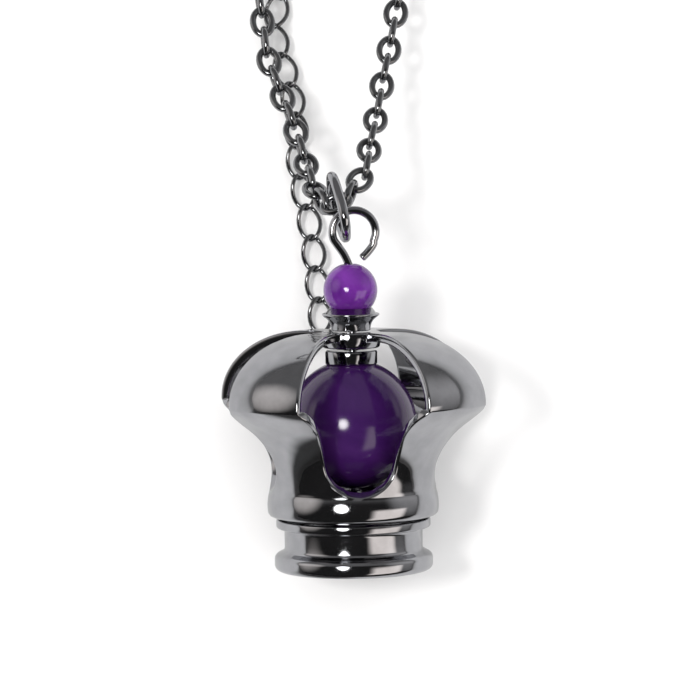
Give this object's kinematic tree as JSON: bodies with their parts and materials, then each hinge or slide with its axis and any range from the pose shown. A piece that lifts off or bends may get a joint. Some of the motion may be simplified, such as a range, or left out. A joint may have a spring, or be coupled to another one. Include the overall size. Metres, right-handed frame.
{
  "type": "gem pendant necklace",
  "caption": "Necklace that lies on its side: a round purple stone in a flared metal cage, an eye pin with a small bead, a bail ring, a cable chain with a clasp and a thin extension chain.",
  "frame": {"origin": "middle of the footprint of the whole necklace, on the surface that it lies on", "axes": "+Y runs from the pendant's foot towards the far bend of the chain, +Z is up from the surface, +X is to the right seen from above with +Y upwards"},
  "size_m": [0.097, 0.2208, 0.0276],
  "materials": {
    "gunmetal": "polished dark gunmetal plating on cast metal",
    "chain_metal": "bright gunmetal plating on drawn wire",
    "stone_purple": "polished opaque dark purple stone",
    "bead_violet": "polished violet glass or stone bead"
  },
  "bodies": {
    "root": {"base": "gunmetal", "cage": "gunmetal", "stone": "stone_purple", "stone_cap": "gunmetal", "collar": "gunmetal", "small_bead": "bead_violet", "eye_pin": "gunmetal", "bail_ring": "gunmetal", "front_chain": "chain_metal", "neck_chain": "chain_metal", "end_ring": "chain_metal", "clasp": "chain_metal", "clasp_ring": "chain_metal", "extension_chain": "chain_metal"}
  },
  "joints": []
}
